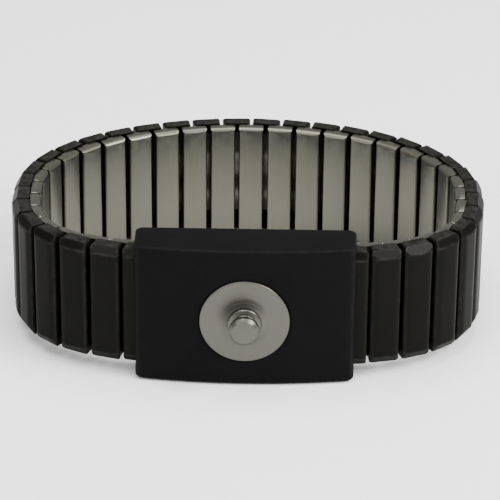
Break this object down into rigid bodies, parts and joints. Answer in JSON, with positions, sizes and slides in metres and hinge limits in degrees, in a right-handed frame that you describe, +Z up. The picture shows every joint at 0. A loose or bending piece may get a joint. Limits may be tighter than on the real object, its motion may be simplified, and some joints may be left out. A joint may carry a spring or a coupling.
{
  "type": "esd wrist strap",
  "caption": "Expansion wrist strap for static control: sprung black metal links with bright inner shells, closed by a black housing with a snap stud for a ground cord.",
  "frame": {"origin": "under the middle of the loop, on the surface that the strap stands on", "axes": "+Z up through the loop, -Y out of the housing's front along the snap stud, +X to the right seen from the front"},
  "size_m": [0.0642, 0.0512, 0.0198],
  "materials": {
    "black_coating": "satin",
    "bright_steel": "satin",
    "black_plastic": "matte",
    "stud_metal": "satin",
    "spring_steel": "satin"
  },
  "bodies": {
    "housing": {"housing_cover": "black_plastic", "contact_disc": "stud_metal", "snap_stud": "stud_metal", "stud_washer": "spring_steel", "contact_spring": "spring_steel", "skin_plate": "bright_steel", "end_link_left": "black_coating", "end_link_right": "black_coating", "end_hook_left": "spring_steel", "end_hook_right": "spring_steel", "end_pin_left": "spring_steel", "end_pin_right": "spring_steel"},
    "link_L01": {"band_link_L01": "black_coating"},
    "link_L02": {"band_link_L02": "black_coating"},
    "link_L03": {"band_link_L03": "black_coating"},
    "link_L04": {"band_link_L04": "black_coating"},
    "link_L05": {"band_link_L05": "black_coating"},
    "link_L06": {"band_link_L06": "black_coating"},
    "link_L07": {"band_link_L07": "black_coating"},
    "link_L08": {"band_link_L08": "black_coating"},
    "link_L09": {"band_link_L09": "black_coating"},
    "link_L10": {"band_link_L10": "black_coating"},
    "link_L11": {"band_link_L11": "black_coating"},
    "link_L12": {"band_link_L12": "black_coating"},
    "link_L13": {"band_link_L13": "black_coating"},
    "link_L14": {"band_link_L14": "black_coating"},
    "link_L15": {"band_link_L15": "black_coating"},
    "link_L16": {"band_link_L16": "black_coating"},
    "link_R01": {"band_link_R01": "black_coating"},
    "link_R02": {"band_link_R02": "black_coating"},
    "link_R03": {"band_link_R03": "black_coating"},
    "link_R04": {"band_link_R04": "black_coating"},
    "link_R05": {"band_link_R05": "black_coating"},
    "link_R06": {"band_link_R06": "black_coating"},
    "link_R07": {"band_link_R07": "black_coating"},
    "link_R08": {"band_link_R08": "black_coating"},
    "link_R09": {"band_link_R09": "black_coating"},
    "link_R10": {"band_link_R10": "black_coating"},
    "link_R11": {"band_link_R11": "black_coating"},
    "link_R12": {"band_link_R12": "black_coating"},
    "link_R13": {"band_link_R13": "black_coating"},
    "link_R14": {"band_link_R14": "black_coating"},
    "link_R15": {"band_link_R15": "black_coating"},
    "link_R16": {"band_link_R16": "black_coating", "closing_inner_shell": "bright_steel"}
  },
  "joints": [
    {"name": "stretch_L01", "type": "slide", "parent": "housing", "child": "link_L01", "axis": [-0.9796, 0.201, 0], "range_m": [0, 0.00154], "stiffness_N_per_m": 20},
    {"name": "stretch_L02", "type": "slide", "parent": "link_L01", "child": "link_L02", "axis": [-0.9344, 0.3562, 0], "range_m": [0, 0.00152], "stiffness_N_per_m": 20},
    {"name": "stretch_L03", "type": "slide", "parent": "link_L02", "child": "link_L03", "axis": [-0.8202, 0.5721, 0], "range_m": [0, 0.00147], "stiffness_N_per_m": 20},
    {"name": "stretch_L04", "type": "slide", "parent": "link_L03", "child": "link_L04", "axis": [-0.5991, 0.8007, 0], "range_m": [0, 0.00138], "stiffness_N_per_m": 20},
    {"name": "stretch_L05", "type": "slide", "parent": "link_L04", "child": "link_L05", "axis": [-0.3233, 0.9463, 0], "range_m": [0, 0.00127], "stiffness_N_per_m": 20},
    {"name": "stretch_L06", "type": "slide", "parent": "link_L05", "child": "link_L06", "axis": [-0.1141, 0.9935, 0], "range_m": [0, 0.00118], "stiffness_N_per_m": 20},
    {"name": "stretch_L07", "type": "slide", "parent": "link_L06", "child": "link_L07", "axis": [0.005, 1, 0], "range_m": [0, 0.00113], "stiffness_N_per_m": 20},
    {"name": "stretch_L08", "type": "slide", "parent": "link_L07", "child": "link_L08", "axis": [0.1713, 0.9852, 0], "range_m": [0, 0.00106], "stiffness_N_per_m": 20},
    {"name": "stretch_L09", "type": "slide", "parent": "link_L08", "child": "link_L09", "axis": [0.4032, 0.9151, 0], "range_m": [0, 0.0009633], "stiffness_N_per_m": 20},
    {"name": "stretch_L10", "type": "slide", "parent": "link_L09", "child": "link_L10", "axis": [0.5954, 0.8034, 0], "range_m": [0, 0.0008829], "stiffness_N_per_m": 20},
    {"name": "stretch_L11", "type": "slide", "parent": "link_L10", "child": "link_L11", "axis": [0.736, 0.677, 0], "range_m": [0, 0.0008241], "stiffness_N_per_m": 20},
    {"name": "stretch_L12", "type": "slide", "parent": "link_L11", "child": "link_L12", "axis": [0.8348, 0.5506, 0], "range_m": [0, 0.0007828], "stiffness_N_per_m": 20},
    {"name": "stretch_L13", "type": "slide", "parent": "link_L12", "child": "link_L13", "axis": [0.9029, 0.43, 0], "range_m": [0, 0.0007543], "stiffness_N_per_m": 20},
    {"name": "stretch_L14", "type": "slide", "parent": "link_L13", "child": "link_L14", "axis": [0.9488, 0.3159, 0], "range_m": [0, 0.0007351], "stiffness_N_per_m": 20},
    {"name": "stretch_L15", "type": "slide", "parent": "link_L14", "child": "link_L15", "axis": [0.9783, 0.2074, 0], "range_m": [0, 0.0007228], "stiffness_N_per_m": 20},
    {"name": "stretch_L16", "type": "slide", "parent": "link_L15", "child": "link_L16", "axis": [0.9947, 0.1028, 0], "range_m": [0, 0.0007159], "stiffness_N_per_m": 20},
    {"name": "stretch_R01", "type": "slide", "parent": "housing", "child": "link_R01", "axis": [0.9796, 0.201, 0], "range_m": [0, 0.00154], "stiffness_N_per_m": 20},
    {"name": "stretch_R02", "type": "slide", "parent": "link_R01", "child": "link_R02", "axis": [0.9344, 0.3562, 0], "range_m": [0, 0.00152], "stiffness_N_per_m": 20},
    {"name": "stretch_R03", "type": "slide", "parent": "link_R02", "child": "link_R03", "axis": [0.8202, 0.5721, 0], "range_m": [0, 0.00147], "stiffness_N_per_m": 20},
    {"name": "stretch_R04", "type": "slide", "parent": "link_R03", "child": "link_R04", "axis": [0.5991, 0.8007, 0], "range_m": [0, 0.00138], "stiffness_N_per_m": 20},
    {"name": "stretch_R05", "type": "slide", "parent": "link_R04", "child": "link_R05", "axis": [0.3233, 0.9463, 0], "range_m": [0, 0.00127], "stiffness_N_per_m": 20},
    {"name": "stretch_R06", "type": "slide", "parent": "link_R05", "child": "link_R06", "axis": [0.1141, 0.9935, 0], "range_m": [0, 0.00118], "stiffness_N_per_m": 20},
    {"name": "stretch_R07", "type": "slide", "parent": "link_R06", "child": "link_R07", "axis": [-0.005, 1, 0], "range_m": [0, 0.00113], "stiffness_N_per_m": 20},
    {"name": "stretch_R08", "type": "slide", "parent": "link_R07", "child": "link_R08", "axis": [-0.1713, 0.9852, 0], "range_m": [0, 0.00106], "stiffness_N_per_m": 20},
    {"name": "stretch_R09", "type": "slide", "parent": "link_R08", "child": "link_R09", "axis": [-0.4032, 0.9151, 0], "range_m": [0, 0.0009633], "stiffness_N_per_m": 20},
    {"name": "stretch_R10", "type": "slide", "parent": "link_R09", "child": "link_R10", "axis": [-0.5954, 0.8034, 0], "range_m": [0, 0.0008829], "stiffness_N_per_m": 20},
    {"name": "stretch_R11", "type": "slide", "parent": "link_R10", "child": "link_R11", "axis": [-0.736, 0.677, 0], "range_m": [0, 0.0008241], "stiffness_N_per_m": 20},
    {"name": "stretch_R12", "type": "slide", "parent": "link_R11", "child": "link_R12", "axis": [-0.8348, 0.5506, 0], "range_m": [0, 0.0007828], "stiffness_N_per_m": 20},
    {"name": "stretch_R13", "type": "slide", "parent": "link_R12", "child": "link_R13", "axis": [-0.9029, 0.43, 0], "range_m": [0, 0.0007543], "stiffness_N_per_m": 20},
    {"name": "stretch_R14", "type": "slide", "parent": "link_R13", "child": "link_R14", "axis": [-0.9488, 0.3159, 0], "range_m": [0, 0.0007351], "stiffness_N_per_m": 20},
    {"name": "stretch_R15", "type": "slide", "parent": "link_R14", "child": "link_R15", "axis": [-0.9783, 0.2074, 0], "range_m": [0, 0.0007228], "stiffness_N_per_m": 20},
    {"name": "stretch_R16", "type": "slide", "parent": "link_R15", "child": "link_R16", "axis": [-0.9947, 0.1028, 0], "range_m": [0, 0.0007159], "stiffness_N_per_m": 20}
  ],
  "couplings": [
    {"joint": "stretch_L02", "follows": "stretch_L01", "ratio": 0.98774},
    {"joint": "stretch_L03", "follows": "stretch_L01", "ratio": 0.95673},
    {"joint": "stretch_L04", "follows": "stretch_L01", "ratio": 0.89672},
    {"joint": "stretch_L05", "follows": "stretch_L01", "ratio": 0.82186},
    {"joint": "stretch_L06", "follows": "stretch_L01", "ratio": 0.76516},
    {"joint": "stretch_L07", "follows": "stretch_L01", "ratio": 0.73279},
    {"joint": "stretch_L08", "follows": "stretch_L01", "ratio": 0.68771},
    {"joint": "stretch_L09", "follows": "stretch_L01", "ratio": 0.62478},
    {"joint": "stretch_L10", "follows": "stretch_L01", "ratio": 0.57262},
    {"joint": "stretch_L11", "follows": "stretch_L01", "ratio": 0.53448},
    {"joint": "stretch_L12", "follows": "stretch_L01", "ratio": 0.50769},
    {"joint": "stretch_L13", "follows": "stretch_L01", "ratio": 0.4892},
    {"joint": "stretch_L14", "follows": "stretch_L01", "ratio": 0.47674},
    {"joint": "stretch_L15", "follows": "stretch_L01", "ratio": 0.46876},
    {"joint": "stretch_L16", "follows": "stretch_L01", "ratio": 0.46429},
    {"joint": "stretch_R01", "follows": "stretch_L01", "ratio": 1},
    {"joint": "stretch_R02", "follows": "stretch_L01", "ratio": 0.98774},
    {"joint": "stretch_R03", "follows": "stretch_L01", "ratio": 0.95673},
    {"joint": "stretch_R04", "follows": "stretch_L01", "ratio": 0.89672},
    {"joint": "stretch_R05", "follows": "stretch_L01", "ratio": 0.82186},
    {"joint": "stretch_R06", "follows": "stretch_L01", "ratio": 0.76516},
    {"joint": "stretch_R07", "follows": "stretch_L01", "ratio": 0.73279},
    {"joint": "stretch_R08", "follows": "stretch_L01", "ratio": 0.68771},
    {"joint": "stretch_R09", "follows": "stretch_L01", "ratio": 0.62478},
    {"joint": "stretch_R10", "follows": "stretch_L01", "ratio": 0.57262},
    {"joint": "stretch_R11", "follows": "stretch_L01", "ratio": 0.53448},
    {"joint": "stretch_R12", "follows": "stretch_L01", "ratio": 0.50769},
    {"joint": "stretch_R13", "follows": "stretch_L01", "ratio": 0.4892},
    {"joint": "stretch_R14", "follows": "stretch_L01", "ratio": 0.47674},
    {"joint": "stretch_R15", "follows": "stretch_L01", "ratio": 0.46876},
    {"joint": "stretch_R16", "follows": "stretch_L01", "ratio": 0.46429}
  ]
}
